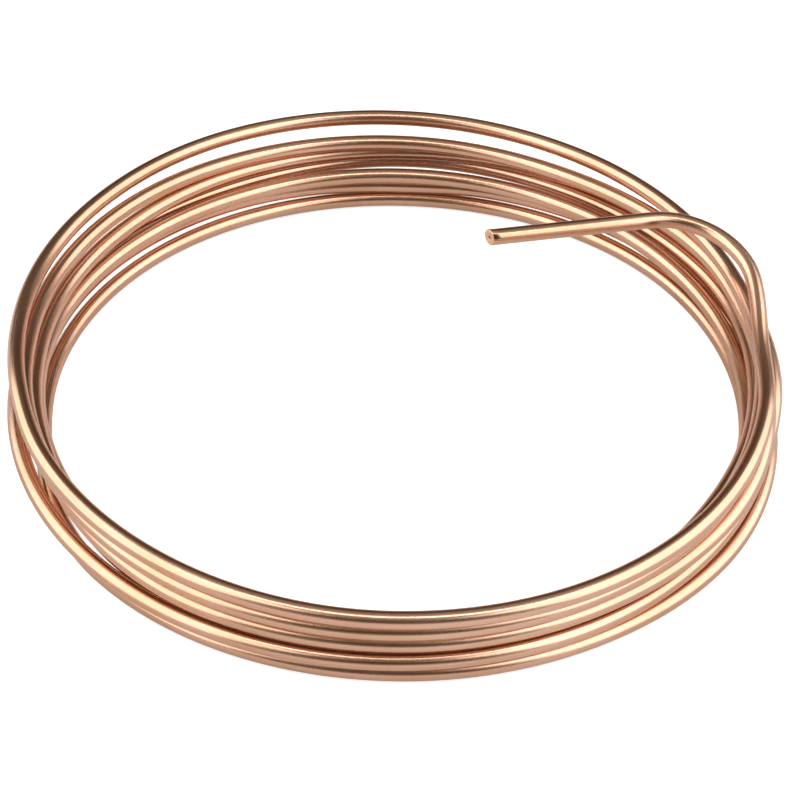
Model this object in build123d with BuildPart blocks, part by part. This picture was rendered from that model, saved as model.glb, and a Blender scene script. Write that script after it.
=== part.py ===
"""Coil of soft-drawn copper capillary tube, lying flat, with one end bent inwards over it.

Frame: millimetres, +Z up, floor at Z = 0. The coil's axis is Z, and +Y is its back.
Azimuths are degrees about +Z from +X, so 0 is right, 90 back, 180 left and 270 front.
"""
from build123d import *
from math import cos, pi, radians, sin, sqrt
import os

os.makedirs("parts", exist_ok=True)

# Driving dimensions
TUBE_OD = 2.0
BORE_D = 0.7
LAY_RADIUS = 42.8
BEND_RADIUS = 9.8
BEND_TURN = 98.5
END_LENGTH = 20.6
END_RISE = 3.8
SPANS_PER_TURN = 12

# The lay of the turns, from the hidden lower end up: azimuth in degrees, then how far
# the tube's axis lies outside the lay radius and above the floor, in tube diameters.
LAY = [
    (-25, -0.42, 0.50), (15, -0.10, 0.50), (45, 0.15, 0.50), (90, -0.18, 0.50), (135, -0.24, 0.50),
    (180, -0.27, 0.50), (195, -0.15, 0.50), (210, 0.50, 0.50), (225, 0.81, 0.50), (270, 0.66, 0.50),
    (300, 0.74, 0.50), (330, 1.15, 0.50), (360, 1.00, 0.70), (405, 0.80, 1.40), (435, 0.25, 1.54),
    (450, -0.15, 1.58), (480, 0.40, 1.48), (510, 0.60, 1.38), (540, 0.30, 1.42), (555, 0.00, 1.55),
    (570, -0.30, 1.36), (585, -0.36, 0.92), (600, -0.40, 0.66), (630, -0.40, 0.54), (660, -0.42, 0.90),
    (690, -0.42, 1.56), (720, -0.30, 1.60), (765, 0.00, 2.12), (780, -0.22, 2.38), (810, -0.56, 2.62),
    (840, -0.25, 2.42), (870, -0.06, 2.36), (900, 0.00, 2.47), (915, -0.05, 2.58), (930, -0.10, 2.38),
    (945, -0.20, 2.05), (990, -0.25, 1.62), (1020, -0.36, 1.95), (1050, -0.48, 2.62),
    (1080, 0.10, 2.62), (1095, 0.60, 2.44), (1110, 1.05, 2.36), (1140, 1.32, 2.42), (1170, 1.62, 2.45),
    (1200, 1.00, 2.42), (1230, 1.50, 2.00), (1260, 1.33, 1.62), (1305, 1.20, 1.52), (1350, 0.90, 1.55),
    (1395, 0.66, 1.62), (1425, 0.74, 2.05), (1440, 1.15, 2.80), (1455, 1.30, 3.26), (1470, 1.42, 3.41),
    (1500, 1.42, 3.46), (1530, 1.05, 3.46), (1560, 0.82, 3.50), (1590, 0.32, 3.46), (1620, 0.00, 3.53),
    (1635, 0.14, 3.63), (1650, 0.38, 3.31), (1665, 0.70, 3.02), (1680, 0.90, 2.85), (1710, 0.68, 2.68),
    (1740, 0.66, 2.85), (1770, 0.92, 3.20), (1800, 0.44, 3.66), (1815, 0.45, 3.90), (1830, 0.67, 4.16),
    (1860, 0.22, 4.46), (1890, 0.54, 4.52), (1935, 0.82, 4.56), (1980, 0.48, 4.56), (1995, 0.62, 4.60),
    (2010, 0.80, 4.33), (2040, 0.98, 3.92), (2070, 0.84, 3.75), (2115, 0.68, 4.08), (2145, 0.20, 4.50),
    (2160, 0.20, 4.68), (2190, 0.66, 5.20), (2220, 1.58, 5.32), (2250, 2.35, 5.32), (2280, 2.38, 5.38),
    (2310, 1.58, 5.52), (2340, 1.00, 5.54), (2355, 0.92, 5.63), (2370, 1.08, 5.35), (2400, 1.06, 4.98),
    (2430, 1.04, 4.81), (2475, 1.05, 5.17), (2505, 0.46, 5.58), (2520, 0.00, 5.84), (2533, 0.50, 6.80),
]


def lay_at(azimuth):
    """Radius and height of the tube's axis, by cubic Hermite steps between the lay's rows."""
    last = len(LAY) - 2
    i = max(k for k in range(last + 1) if LAY[k][0] <= azimuth or k == 0)
    before, start, stop, after = LAY[max(i - 1, 0)], LAY[i], LAY[i + 1], LAY[min(i + 2, last + 1)]
    step = stop[0] - start[0]
    t = (azimuth - start[0]) / step
    values = []
    for k in (1, 2):
        slope_in = (stop[k] - before[k]) / (stop[0] - before[0]) * step
        slope_out = (after[k] - start[k]) / (after[0] - start[0]) * step
        values.append(
            (2 * t**3 - 3 * t**2 + 1) * start[k]
            + (t**3 - 2 * t**2 + t) * slope_in
            + (3 * t**2 - 2 * t**3) * stop[k]
            + (t**3 - t**2) * slope_out
        )
    return LAY_RADIUS + values[0] * TUBE_OD, values[1] * TUBE_OD


def axis_point(azimuth):
    radius, height = lay_at(azimuth)
    return Vector(radius * cos(radians(azimuth)), radius * sin(radians(azimuth)), height)


def axis_direction(azimuth, nudge=0.05):
    first = max(azimuth - nudge, LAY[0][0])
    second = min(azimuth + nudge, LAY[-1][0])
    return (axis_point(second) - axis_point(first)).normalized()


def two_arcs(start, start_dir, stop, stop_dir):
    """The joint of two arcs that leave start and reach stop as given, and their direction there."""
    gap = stop - start
    along = gap.dot(start_dir + stop_dir)
    spread = 2 * (1 - start_dir.dot(stop_dir))
    reach = (sqrt(along**2 + spread * gap.dot(gap)) - along) / spread
    first_corner = start + start_dir * reach
    second_corner = stop - stop_dir * reach
    return (first_corner + second_corner) * 0.5, second_corner - first_corner


def coil_arcs(azimuths):
    """Pairs of arcs, each tangent to the next, along the turns."""
    arcs = []
    for azimuth, next_azimuth in zip(azimuths, azimuths[1:]):
        start, stop = axis_point(azimuth), axis_point(next_azimuth)
        start_dir, stop_dir = axis_direction(azimuth), axis_direction(next_azimuth)
        joint, joint_dir = two_arcs(start, start_dir, stop, stop_dir)
        arcs.append(Edge.make_tangent_arc(start, start_dir, joint))
        arcs.append(Edge.make_tangent_arc(joint, joint_dir, stop))
    return arcs


def free_end(start, start_dir):
    """The bend and the straight end, turning inwards in a plane that rises towards the middle."""
    upright = (Vector(0, 0, 1) - start_dir * start_dir.Z).normalized()
    inward = upright.cross(start_dir) * cos(radians(END_RISE)) + upright * sin(radians(END_RISE))
    turn = radians(BEND_TURN)
    bend_stop = start + start_dir * (BEND_RADIUS * sin(turn)) + inward * (BEND_RADIUS * (1 - cos(turn)))
    end_dir = start_dir * cos(turn) + inward * sin(turn)
    return [
        Edge.make_tangent_arc(start, start_dir, bend_stop),
        Edge.make_line(bend_stop, bend_stop + end_dir * END_LENGTH),
    ]


spans = round((LAY[-1][0] - LAY[0][0]) / 360 * SPANS_PER_TURN)
azimuths = [LAY[0][0] + (LAY[-1][0] - LAY[0][0]) * i / spans for i in range(spans + 1)]
end_arcs = free_end(axis_point(azimuths[-1]), axis_direction(azimuths[-1]))

with BuildPart() as capillary_tube:
    with BuildLine() as route:
        add(Wire(coil_arcs(azimuths) + end_arcs))
    with BuildSketch(Plane(axis_point(azimuths[0]), z_dir=axis_direction(azimuths[0]))):
        Circle(TUBE_OD / 2)
        Circle(BORE_D / 2, mode=Mode.SUBTRACT)
    sweep(path=route.wire())

# The origin is under the middle of the coil's box, at the floor
box = capillary_tube.part.bounding_box()
coil = Pos(-box.center().X, -box.center().Y, -box.min.Z) * capillary_tube.part
coil.label = "capillary_tube"
export_step(coil, "parts/capillary_tube.step")

developed_length = route.wire().length
metal_area = pi / 4 * (TUBE_OD**2 - BORE_D**2)
arc_radii = [edge.radius for edge in route.edges().filter_by(GeomType.CIRCLE)]
print(f"developed length {developed_length:.1f} mm in {len(route.edges())} arcs and runs")
print(f"arc radii {min(arc_radii):.1f} to {max(arc_radii):.1f} mm")
print(f"volume {capillary_tube.part.volume:.1f} mm3, section times length {metal_area * developed_length:.1f} mm3")
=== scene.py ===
"""A loose coil of bare copper capillary tube on a plain pale floor.

Metres, in the model's own frame: +Z up, the floor at Z = 0, the photograph's front towards -Y.
"""

import bpy
import numpy as np
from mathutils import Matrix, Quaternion, Vector


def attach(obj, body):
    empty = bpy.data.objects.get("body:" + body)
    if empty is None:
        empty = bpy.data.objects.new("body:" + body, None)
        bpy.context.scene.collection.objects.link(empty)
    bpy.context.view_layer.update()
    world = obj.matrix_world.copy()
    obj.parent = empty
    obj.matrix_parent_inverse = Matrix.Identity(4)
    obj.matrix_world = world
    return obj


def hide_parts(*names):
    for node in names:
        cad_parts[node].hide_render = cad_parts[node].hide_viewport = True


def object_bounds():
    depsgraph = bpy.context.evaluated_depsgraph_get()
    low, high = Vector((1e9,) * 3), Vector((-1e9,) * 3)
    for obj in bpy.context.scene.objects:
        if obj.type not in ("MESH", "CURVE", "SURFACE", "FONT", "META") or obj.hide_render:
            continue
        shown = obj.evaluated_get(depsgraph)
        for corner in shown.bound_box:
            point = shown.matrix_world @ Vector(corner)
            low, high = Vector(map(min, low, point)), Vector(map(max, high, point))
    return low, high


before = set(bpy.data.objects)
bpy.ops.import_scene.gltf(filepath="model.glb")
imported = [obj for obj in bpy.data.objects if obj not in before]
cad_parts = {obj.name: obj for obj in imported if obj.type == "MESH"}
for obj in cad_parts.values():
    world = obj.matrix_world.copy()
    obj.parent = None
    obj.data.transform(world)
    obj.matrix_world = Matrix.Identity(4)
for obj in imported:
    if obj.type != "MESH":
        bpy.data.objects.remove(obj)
cad_low, cad_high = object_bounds()

# The tube and its lay, as in the part's source
TUBE_OD = 0.0020
BORE_D = 0.0007
LAY_RADIUS = 0.0428
BEND_RADIUS = 0.0098
BEND_TURN = np.radians(98.5)
END_LENGTH = 0.0206
END_RISE = np.radians(3.8)
# Azimuth in degrees, then outward and upward places of the axis in tube diameters
LAY = np.array([
    (-25, -0.42, 0.50), (15, -0.10, 0.50), (45, 0.15, 0.50), (90, -0.18, 0.50), (135, -0.24, 0.50),
    (180, -0.27, 0.50), (195, -0.15, 0.50), (210, 0.50, 0.50), (225, 0.81, 0.50), (270, 0.66, 0.50),
    (300, 0.74, 0.50), (330, 1.15, 0.50), (360, 1.00, 0.70), (405, 0.80, 1.40), (435, 0.25, 1.54),
    (450, -0.15, 1.58), (480, 0.40, 1.48), (510, 0.60, 1.38), (540, 0.30, 1.42), (555, 0.00, 1.55),
    (570, -0.30, 1.36), (585, -0.36, 0.92), (600, -0.40, 0.66), (630, -0.40, 0.54), (660, -0.42, 0.90),
    (690, -0.42, 1.56), (720, -0.30, 1.60), (765, 0.00, 2.12), (780, -0.22, 2.38), (810, -0.56, 2.62),
    (840, -0.25, 2.42), (870, -0.06, 2.36), (900, 0.00, 2.47), (915, -0.05, 2.58), (930, -0.10, 2.38),
    (945, -0.20, 2.05), (990, -0.25, 1.62), (1020, -0.36, 1.95), (1050, -0.48, 2.62),
    (1080, 0.10, 2.62), (1095, 0.60, 2.44), (1110, 1.05, 2.36), (1140, 1.32, 2.42), (1170, 1.62, 2.45),
    (1200, 1.00, 2.42), (1230, 1.50, 2.00), (1260, 1.33, 1.62), (1305, 1.20, 1.52), (1350, 0.90, 1.55),
    (1395, 0.66, 1.62), (1425, 0.74, 2.05), (1440, 1.15, 2.80), (1455, 1.30, 3.26), (1470, 1.42, 3.41),
    (1500, 1.42, 3.46), (1530, 1.05, 3.46), (1560, 0.82, 3.50), (1590, 0.32, 3.46), (1620, 0.00, 3.53),
    (1635, 0.14, 3.63), (1650, 0.38, 3.31), (1665, 0.70, 3.02), (1680, 0.90, 2.85), (1710, 0.68, 2.68),
    (1740, 0.66, 2.85), (1770, 0.92, 3.20), (1800, 0.44, 3.66), (1815, 0.45, 3.90), (1830, 0.67, 4.16),
    (1860, 0.22, 4.46), (1890, 0.54, 4.52), (1935, 0.82, 4.56), (1980, 0.48, 4.56), (1995, 0.62, 4.60),
    (2010, 0.80, 4.33), (2040, 0.98, 3.92), (2070, 0.84, 3.75), (2115, 0.68, 4.08), (2145, 0.20, 4.50),
    (2160, 0.20, 4.68), (2190, 0.66, 5.20), (2220, 1.58, 5.32), (2250, 2.35, 5.32), (2280, 2.38, 5.38),
    (2310, 1.58, 5.52), (2340, 1.00, 5.54), (2355, 0.92, 5.63), (2370, 1.08, 5.35), (2400, 1.06, 4.98),
    (2430, 1.04, 4.81), (2475, 1.05, 5.17), (2505, 0.46, 5.58), (2520, 0.00, 5.84), (2533, 0.50, 6.80),
])

# How finely the axis is read, the azimuth's step in degrees, and how finely the tube is meshed
AZIMUTH_STEP = 0.5
END_POINTS = 60
AROUND = 30
OUTER_RINGS = 2100
BORE_RINGS = 600

# The ends: the outer edge is broken, shears leave the bore's mouth partly closed, and the
# rings lean over from square to the oblique cut, about 17 degrees, within the cut's reach
EDGE_BREAK = TUBE_OD * 0.03
MOUTH_SHARE = 0.55
CUT_REACH = 4 * TUBE_OD
CUT_NORMAL = (-0.834, -0.550, 0.049)

# The copper's UV map counts metres along the tube and turns round it
UV_MAP = "length_and_turn"
DRAW_LINES_SCALE = (60, 40, 1)
DRIFT_SCALE = 60.0
COPPER_DARK, COPPER_LIGHT = (0.62, 0.36, 0.230, 1), (0.75, 0.47, 0.340, 1)
COPPER_ROUGHNESS = (0.16, 0.34)
LINE_DEPTH = 0.00003
# One dark colour serves the tool's bite and the painted shade at the cut end's rim
MARK_AND_SHADE_COLOUR = (0.10, 0.045, 0.02, 1)
CUT_COLOUR = (0.62, 0.36, 0.22)

# Each dark mark: metres back from the cut tip, place round the tube, then its reach both ways
BITE_MARK = (END_LENGTH, 0.05, 0.0014, 0.05)
# The cut end's mark is painted shade: a dark patch on the rim where the cut face meets the skin
CUT_EDGE_PAINTED_SHADE = (0.0002, 0.12, 0.0008, 0.09)

# Sockets of a Mix node of colours, by number because its other types use the same names
MIX_FACTOR, MIX_FIRST, MIX_SECOND, MIX_RESULT = 0, 6, 7, 2

# The floor: side in metres, tone, and its glow for the camera and for mirrored rays
FLOOR_SIZE = 4.0
FLOOR_TONE = (0.60, 0.60, 0.60)
FLOOR_CAMERA_GLOW = 0.68
FLOOR_MIRROR_GLOW = 0.06

# The world's tones, from level at 0 to straight up at 1
SKY_TONES = [
    (0.0, (0.36, 0.31, 0.26, 1)),
    (0.32, (0.050, 0.034, 0.020, 1)),
    (0.62, (0.085, 0.060, 0.038, 1)),
    (1.0, (0.42, 0.37, 0.32, 1)),
]

# The lamps, all turned to the model's origin: name, place, width, height and watts
SOFT_BOXES = [
    ("left_box", (-0.42, -0.06, 0.28), 0.95, 0.60, 4.0),
    ("right_box", (0.42, -0.06, 0.28), 0.95, 0.60, 4.0),
    ("top_strip", (0, -0.12, 0.50), 0.50, 0.06, 0.6),
]

# The camera, fitted to the photograph: angles, metres, and the photograph's pixels
PHOTO_PX = 800
CAMERA_ELEVATION = np.radians(40.46)
CAMERA_ROLL = np.radians(1.76)
CAMERA_DISTANCE = 0.262
FOCAL_PX = 2162.7
COIL_CENTRE_PX = (396.3, 401.0)


def unit(rows):
    """Each row divided by its own length."""
    return rows / np.linalg.norm(rows, axis=-1, keepdims=True)


def hermite_lay(azimuth):
    """Radius and height over azimuth: cubic Hermite steps whose slopes are central differences."""
    knots = LAY[:, 0]
    i = np.clip(np.searchsorted(knots, azimuth, side="right") - 1, 0, len(knots) - 2)
    before, after = np.maximum(i - 1, 0), np.minimum(i + 2, len(knots) - 1)
    step = knots[i + 1] - knots[i]
    t = ((azimuth - knots[i]) / step)[:, None]
    slope_in = (LAY[i + 1, 1:] - LAY[before, 1:]) * (step / (knots[i + 1] - knots[before]))[:, None]
    slope_out = (LAY[after, 1:] - LAY[i, 1:]) * (step / (knots[after] - knots[i]))[:, None]
    place = (
        (2 * t**3 - 3 * t**2 + 1) * LAY[i, 1:]
        + (t**3 - 2 * t**2 + t) * slope_in
        + (3 * t**2 - 2 * t**3) * LAY[i + 1, 1:]
        + (t**3 - t**2) * slope_out
    )
    return LAY_RADIUS + place[:, 0] * TUBE_OD, place[:, 1] * TUBE_OD


def centre_line():
    """Points of the tube's axis: the turns, then the bend as a circle's arc, then the straight end."""
    azimuth = np.arange(LAY[0, 0], LAY[-1, 0] + AZIMUTH_STEP / 2, AZIMUTH_STEP)
    radius, height = hermite_lay(azimuth)
    angle = np.radians(azimuth)
    turns = np.column_stack([radius * np.cos(angle), radius * np.sin(angle), height])
    start, ahead = turns[-1], unit(turns[-1] - turns[-2])
    upright = unit(np.array([0, 0, 1.0]) - ahead * ahead[2])
    inward = np.cross(upright, ahead) * np.cos(END_RISE) + upright * np.sin(END_RISE)
    turned = np.linspace(0, BEND_TURN, END_POINTS)[1:, None]
    bend = start + BEND_RADIUS * (np.sin(turned) * ahead + (1 - np.cos(turned)) * inward)
    end_way = np.cos(BEND_TURN) * ahead + np.sin(BEND_TURN) * inward
    run = bend[-1] + np.linspace(0, END_LENGTH, END_POINTS)[1:, None] * end_way
    return np.vstack([turns, bend, run])


def line_length(points):
    return np.linalg.norm(np.diff(points, axis=0), axis=1).sum()


def along(points, distances):
    """Places and directions at the given distances along a line of points, by linear reading."""
    reach = np.concatenate([[0], np.cumsum(np.linalg.norm(np.diff(points, axis=0), axis=1))])
    places = np.column_stack([np.interp(distances, reach, points[:, k]) for k in range(3)])
    ways = unit(np.gradient(points, reach, axis=0))
    return places, unit(np.column_stack([np.interp(distances, reach, ways[:, k]) for k in range(3)]))


def tube_rings(length):
    """Distance, radius and share of the cut's slant of each ring, and whether cut metal starts there.

    The rings run out along the skin, over the cut face and back inside the bore.
    """
    outer, bore = TUBE_OD / 2, BORE_D / 2
    face_edge, mouth = outer - EDGE_BREAK, bore * MOUTH_SHARE
    skin = np.linspace(EDGE_BREAK, length - EDGE_BREAK, OUTER_RINGS)
    inside = np.linspace(length - EDGE_BREAK * 4, EDGE_BREAK * 4, BORE_RINGS)
    distance = np.concatenate([skin, [length, length, length - EDGE_BREAK * 2], inside, [0, 0]])
    radius = np.concatenate([
        np.full(OUTER_RINGS, outer), [face_edge, mouth, mouth],
        np.full(BORE_RINGS, bore), [bore, face_edge],
    ])
    cut = np.clip((distance - (length - CUT_REACH)) / CUT_REACH, 0, 1) ** 2
    face = np.zeros(len(distance), dtype=bool)
    face[OUTER_RINGS:OUTER_RINGS + 2] = True
    return distance, radius, cut, face


def tube_mesh(name, line, cut_normal):
    """The tube as one closed grid: rings are circles square to the axis that lean over to the cut.

    A ring's points are axis + r (cos a * side + sin a * top), moved along the axis by
    -cut * r * (normal . ring direction) / (normal . axis direction).
    """
    distance, radius, cut, face = tube_rings(line_length(line))
    centre, ahead = along(line, distance)
    side = unit(np.cross([0, 0, 1.0], ahead))
    top = np.cross(ahead, side)
    angle = np.arange(AROUND) / AROUND * 2 * np.pi
    cosine, sine = np.cos(angle)[None, :, None], np.sin(angle)[None, :, None]
    ring = cosine * side[:, None, :] + sine * top[:, None, :]
    slant = -(ring @ cut_normal) / (ahead @ cut_normal)[:, None] * cut[:, None] * radius[:, None]
    leaning = slant[:, :, None] * ahead[:, None, :]
    points = centre[:, None, :] + radius[:, None, None] * ring + leaning
    rings = len(distance)
    i, j = np.meshgrid(np.arange(rings), np.arange(AROUND), indexing="ij")
    next_i, next_j = (i + 1) % rings, (j + 1) % AROUND
    row, next_row = i * AROUND, next_i * AROUND
    corners = np.stack([row + j, next_row + j, next_row + next_j, row + next_j], axis=-1)
    u = np.stack([distance[i], distance[next_i], distance[next_i], distance[i]], axis=-1)
    v = np.stack([j, j, j + 1, j + 1], axis=-1) / AROUND
    mesh = bpy.data.meshes.new(name)
    mesh.from_pydata(points.reshape(-1, 3), [], corners.reshape(-1, 4))
    mesh.polygons.foreach_set("use_smooth", np.ones(len(mesh.polygons), dtype=bool))
    mesh.polygons.foreach_set("material_index", np.repeat(face, AROUND).astype(np.int32))
    mesh.uv_layers.new(name=UV_MAP)
    mesh.uv_layers[0].data.foreach_set("uv", np.stack([u, v], axis=-1).astype(np.float32).ravel())
    mesh.update()
    return mesh


def dark_mark(nodes, links, uv, length, mark):
    """A mask on the tube's UV map that falls from 1 at the mark's middle to 0 at its reach."""
    from_tip, turn, reach_along, reach_round = mark
    spot = nodes.new("ShaderNodeMapping")
    spot.inputs["Scale"].default_value = (1 / reach_along, 1 / reach_round, 1)
    spot.inputs["Location"].default_value = (-(length - from_tip) / reach_along, -turn / reach_round, 0)
    fall = nodes.new("ShaderNodeTexGradient")
    fall.gradient_type = "SPHERICAL"
    links.new(uv.outputs["UV"], spot.inputs["Vector"])
    links.new(spot.outputs["Vector"], fall.inputs["Vector"])
    return fall.outputs["Fac"]


def copper_material(name, length):
    """Bright drawn copper: a warm tone that drifts, fine lines along the draw and two dark marks.

    One mark is a tool's bite where the bend stops, the other is painted shade on the sheared edge at
    the cut end.
    Tone is the first noise spread over a ramp, roughness and relief the second noise.
    """
    material = bpy.data.materials.new(name)
    material.use_nodes = True
    nodes, links = material.node_tree.nodes, material.node_tree.links
    shader = nodes["Principled BSDF"]
    shader.inputs["Metallic"].default_value = 1.0
    uv = nodes.new("ShaderNodeUVMap")
    uv.uv_map = UV_MAP
    draw = nodes.new("ShaderNodeMapping")
    draw.inputs["Scale"].default_value = DRAW_LINES_SCALE
    lines = nodes.new("ShaderNodeTexNoise")
    lines.inputs["Scale"].default_value = 1.0
    lines.inputs["Detail"].default_value = 3.0
    place = nodes.new("ShaderNodeTexCoord")
    drift = nodes.new("ShaderNodeTexNoise")
    drift.inputs["Scale"].default_value = DRIFT_SCALE
    drift.inputs["Detail"].default_value = 2.0
    tone = nodes.new("ShaderNodeValToRGB")
    tone.color_ramp.elements[0].position = 0.30
    tone.color_ramp.elements[0].color = COPPER_DARK
    tone.color_ramp.elements[1].position = 0.70
    tone.color_ramp.elements[1].color = COPPER_LIGHT
    rough = nodes.new("ShaderNodeMapRange")
    rough.inputs["To Min"].default_value = COPPER_ROUGHNESS[0]
    rough.inputs["To Max"].default_value = COPPER_ROUGHNESS[1]
    bump = nodes.new("ShaderNodeBump")
    bump.inputs["Strength"].default_value = 0.15
    bump.inputs["Distance"].default_value = LINE_DEPTH
    links.new(uv.outputs["UV"], draw.inputs["Vector"])
    links.new(draw.outputs["Vector"], lines.inputs["Vector"])
    links.new(place.outputs["Object"], drift.inputs["Vector"])
    links.new(drift.outputs["Fac"], tone.inputs["Fac"])
    bite = dark_mark(nodes, links, uv, length, BITE_MARK)
    # Painted shade on the sheared rim of the cut end
    cut_edge_shade = dark_mark(nodes, links, uv, length, CUT_EDGE_PAINTED_SHADE)
    bite_and_shade = nodes.new("ShaderNodeMath")
    bite_and_shade.operation = "MAXIMUM"
    # The bite's dark and the painted shade at the rim are mixed into the copper's tone
    marked_and_shaded = nodes.new("ShaderNodeMix")
    marked_and_shaded.data_type = "RGBA"
    marked_and_shaded.inputs[MIX_SECOND].default_value = MARK_AND_SHADE_COLOUR
    links.new(bite, bite_and_shade.inputs[0])
    links.new(cut_edge_shade, bite_and_shade.inputs[1])
    links.new(bite_and_shade.outputs["Value"], marked_and_shaded.inputs[MIX_FACTOR])
    links.new(tone.outputs["Color"], marked_and_shaded.inputs[MIX_FIRST])
    links.new(marked_and_shaded.outputs[MIX_RESULT], shader.inputs["Base Color"])
    links.new(lines.outputs["Fac"], rough.inputs["Value"])
    links.new(rough.outputs["Result"], shader.inputs["Roughness"])
    links.new(lines.outputs["Fac"], bump.inputs["Height"])
    links.new(bump.outputs["Normal"], shader.inputs["Normal"])
    return material


def plain_material(name, colour, roughness):
    """A material of one colour and one roughness."""
    material = bpy.data.materials.new(name)
    material.use_nodes = True
    shader = material.node_tree.nodes["Principled BSDF"]
    shader.inputs["Base Color"].default_value = (*colour, 1)
    shader.inputs["Roughness"].default_value = roughness
    return material


def white_to_the_camera(material, camera_glow, mirror_glow):
    """Adds a glow for camera, glass and mirror rays alone: the floor shows white, but gives no light.

    Strength is camera_glow * max(camera ray, glass ray) + mirror_glow * mirror ray.
    """
    nodes, links = material.node_tree.nodes, material.node_tree.links
    rays = nodes.new("ShaderNodeLightPath")
    direct = nodes.new("ShaderNodeMath")
    direct.operation = "MAXIMUM"
    glow = nodes.new("ShaderNodeMath")
    glow.operation = "MULTIPLY"
    glow.inputs[1].default_value = camera_glow
    mirrored = nodes.new("ShaderNodeMath")
    mirrored.operation = "MULTIPLY_ADD"
    mirrored.inputs[1].default_value = mirror_glow
    links.new(rays.outputs["Is Camera Ray"], direct.inputs[0])
    links.new(rays.outputs["Is Transmission Ray"], direct.inputs[1])
    links.new(direct.outputs["Value"], glow.inputs[0])
    links.new(rays.outputs["Is Glossy Ray"], mirrored.inputs[0])
    links.new(glow.outputs["Value"], mirrored.inputs[2])
    shader = nodes["Principled BSDF"]
    shader.inputs["Emission Color"].default_value = (1, 1, 1, 1)
    links.new(mirrored.outputs["Value"], shader.inputs["Emission Strength"])


def add_object(name, data):
    """A new object of the scene that shows the given mesh, lamp or camera."""
    made = bpy.data.objects.new(name, data)
    bpy.context.scene.collection.objects.link(made)
    return made


def soft_box(name, place, width, height, watts):
    """A rectangular lamp at place, turned to face the origin."""
    lamp = bpy.data.lights.new(name, "AREA")
    lamp.shape = "RECTANGLE"
    lamp.size, lamp.size_y, lamp.energy = width, height, watts
    made = add_object(name, lamp)
    made.location = place
    made.rotation_euler = (-Vector(place)).to_track_quat("-Z", "Y").to_euler()


# The tube's axis, moved so that the tube stands where the CAD's box stands
line = centre_line()
line_low, line_high = line.min(axis=0) - TUBE_OD / 2, line.max(axis=0) + TUBE_OD / 2
shift = np.array([
    (cad_low[0] + cad_high[0]) / 2 - (line_low[0] + line_high[0]) / 2,
    (cad_low[1] + cad_high[1]) / 2 - (line_low[1] + line_high[1]) / 2,
    cad_low[2] - line_low[2],
])
line = line + shift

# The camera looks at the coil's axis, at the height of the lowest turn
target = Vector((shift[0], shift[1], TUBE_OD / 2))
camera_data = bpy.data.cameras.new("camera")
camera_data.sensor_width = 36
camera_data.lens = FOCAL_PX / PHOTO_PX * camera_data.sensor_width
camera_data.shift_x = (PHOTO_PX / 2 - COIL_CENTRE_PX[0]) / PHOTO_PX
camera_data.shift_y = (COIL_CENTRE_PX[1] - PHOTO_PX / 2) / PHOTO_PX
camera_data.clip_start, camera_data.clip_end = 0.01, 50
camera = add_object("camera", camera_data)
camera_way = Vector((0, -np.cos(CAMERA_ELEVATION), np.sin(CAMERA_ELEVATION)))
camera.location = target + camera_way * CAMERA_DISTANCE
roll = Quaternion((0, 0, 1), CAMERA_ROLL)
camera.rotation_euler = ((-camera_way).to_track_quat("-Z", "Y") @ roll).to_euler()
bpy.context.scene.camera = camera

# The tube
tube = add_object("copper_tube", tube_mesh("copper_tube", line, unit(np.array(CUT_NORMAL))))
tube.data.materials.append(copper_material("drawn_copper", line_length(line)))
tube.data.materials.append(plain_material("cut_copper", CUT_COLOUR, 0.45))
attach(tube, "root")
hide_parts("capillary_tube")

# The floor, without gloss
floor_mesh = bpy.data.meshes.new("floor")
half = FLOOR_SIZE / 2
floor_corners = [(-half, -half, 0), (half, -half, 0), (half, half, 0), (-half, half, 0)]
floor_mesh.from_pydata(floor_corners, [], [(0, 1, 2, 3)])
floor = add_object("floor", floor_mesh)
floor_material = plain_material("pale_floor", FLOOR_TONE, 0.9)
floor_material.node_tree.nodes["Principled BSDF"].inputs["Specular IOR Level"].default_value = 0.0
white_to_the_camera(floor_material, FLOOR_CAMERA_GLOW, FLOOR_MIRROR_GLOW)
floor_mesh.materials.append(floor_material)

# The room: a world that is pale when level and overhead and dark between, and the lamps
world = bpy.data.worlds.new("studio")
bpy.context.scene.world = world
world.use_nodes = True
sky_nodes, sky_links = world.node_tree.nodes, world.node_tree.links
sky_place = sky_nodes.new("ShaderNodeTexCoord")
sky_height = sky_nodes.new("ShaderNodeSeparateXYZ")
sky_tone = sky_nodes.new("ShaderNodeValToRGB")
for position, _ in SKY_TONES[1:-1]:
    sky_tone.color_ramp.elements.new(position)
for stop, (position, colour) in zip(sky_tone.color_ramp.elements, SKY_TONES):
    stop.position, stop.color = position, colour
sky_links.new(sky_place.outputs["Generated"], sky_height.inputs["Vector"])
sky_links.new(sky_height.outputs["Z"], sky_tone.inputs["Fac"])
sky_links.new(sky_tone.outputs["Color"], sky_nodes["Background"].inputs["Color"])

for box in SOFT_BOXES:
    soft_box(*box)

bpy.context.scene.view_settings.view_transform = "Standard"
